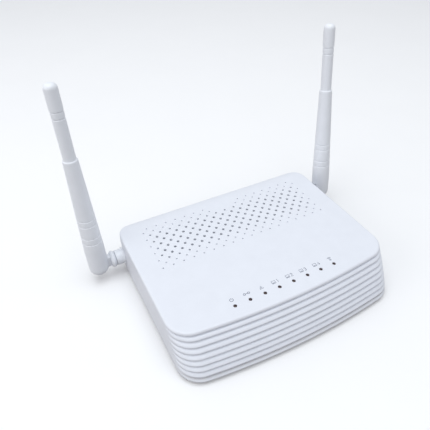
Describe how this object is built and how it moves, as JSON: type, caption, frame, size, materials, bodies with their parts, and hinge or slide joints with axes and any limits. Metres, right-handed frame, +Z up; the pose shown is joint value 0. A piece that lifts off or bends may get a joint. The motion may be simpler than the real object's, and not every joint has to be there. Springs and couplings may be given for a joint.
{
  "type": "optical network terminal",
  "caption": "Low white optical network terminal with a ribbed front, a perforated top, rear sockets and a folding rod antenna on each side.",
  "frame": {"origin": "centre of the whole footprint, leaning antennas included, on the surface under the feet", "axes": "+Z up, the ribbed front faces -Y, the rear sockets face +Y, +X is to the right seen from the front"},
  "size_m": [0.1988, 0.1304, 0.139],
  "materials": {
    "cover_white": "fine satin moulding",
    "base_white": "fine satin moulding",
    "foot_rubber": "matt",
    "screw_steel": "zinc plated",
    "label_film": "satin film",
    "pipe_clear": "clear moulding, looks dark over the unlit inside",
    "led_white": "moulded resin",
    "board_green": "solder mask",
    "chip_black": "moulded resin",
    "sink_aluminium": "extruded",
    "shield_steel": "tinned",
    "jack_grey": "moulded",
    "contact_brass": "gold flashed",
    "optical_green": "moulded",
    "latch_white": "moulded",
    "ceramic_white": "ground ceramic",
    "socket_black": "moulded",
    "button_white": "satin moulding",
    "antenna_white": "fine satin moulding",
    "coax_grey": "matt jacket"
  },
  "bodies": {
    "case": {"top_cover": "cover_white", "base": "base_white", "feet": "foot_rubber", "case_screws": "screw_steel", "board_screws": "screw_steel", "rating_label": "label_film", "light_pipes": "pipe_clear", "status_leds": "led_white", "main_board": "board_green", "soc_chip": "chip_black", "soc_heatsink": "sink_aluminium", "memory_chip": "chip_black", "flash_chip": "chip_black", "wifi_chip": "chip_black", "wifi_shield": "shield_steel", "lan_transformers": "chip_black", "inductors": "chip_black", "capacitors": "sink_aluminium", "crystals": "shield_steel", "lan_jack_1": "jack_grey", "lan_jack_2": "jack_grey", "lan_jack_3": "jack_grey", "lan_jack_4": "jack_grey", "lan_contacts_1": "contact_brass", "lan_contacts_2": "contact_brass", "lan_contacts_3": "contact_brass", "lan_contacts_4": "contact_brass", "optical_socket": "optical_green", "optical_latches": "latch_white", "ferrule_sleeve": "ceramic_white", "optical_module": "shield_steel", "dc_socket": "socket_black", "dc_pin": "shield_steel", "dc_contact": "contact_brass", "power_switch": "socket_black", "wifi_switch": "socket_black", "reset_switch": "socket_black", "left_sleeve": "antenna_white", "left_coax": "coax_grey", "right_sleeve": "antenna_white", "right_coax": "coax_grey"},
    "left_knuckle": {"left_swivel": "antenna_white", "left_clip": "shield_steel"},
    "left_antenna": {"left_rod": "antenna_white", "left_pin": "shield_steel", "left_element": "contact_brass"},
    "right_knuckle": {"right_swivel": "antenna_white", "right_clip": "shield_steel"},
    "right_antenna": {"right_rod": "antenna_white", "right_pin": "shield_steel", "right_element": "contact_brass"},
    "power_key": {"power_button": "button_white"},
    "wifi_key": {"wifi_button": "button_white"},
    "reset_key": {"reset_plunger": "button_white"}
  },
  "joints": [
    {"name": "left_swivel", "type": "hinge", "parent": "case", "child": "left_knuckle", "pos_m": [-0.0928, 0.04432, 0.0143], "axis": [1, 0, 0], "range_deg": [-85.5, 94.5]},
    {"name": "left_fold", "type": "hinge", "parent": "left_knuckle", "child": "left_antenna", "pos_m": [-0.0928, 0.04432, 0.0143], "axis": [0, -0.9969, 0.0785], "range_deg": [0, 90]},
    {"name": "right_swivel", "type": "hinge", "parent": "case", "child": "right_knuckle", "pos_m": [0.0928, 0.04432, 0.0143], "axis": [1, 0, 0], "range_deg": [-82, 98]},
    {"name": "right_fold", "type": "hinge", "parent": "right_knuckle", "child": "right_antenna", "pos_m": [0.0928, 0.04432, 0.0143], "axis": [0, 0.9903, -0.1392], "range_deg": [0, 90]},
    {"name": "power_push", "type": "slide", "parent": "case", "child": "power_key", "axis": [0, -1, 0], "range_m": [0, 0.002], "stiffness_N_per_m": 400},
    {"name": "wifi_push", "type": "slide", "parent": "case", "child": "wifi_key", "axis": [0, -1, 0], "range_m": [0, 0.0005], "stiffness_N_per_m": 1500},
    {"name": "reset_push", "type": "slide", "parent": "case", "child": "reset_key", "axis": [0, -1, 0], "range_m": [0, 0.0003], "stiffness_N_per_m": 1500}
  ]
}
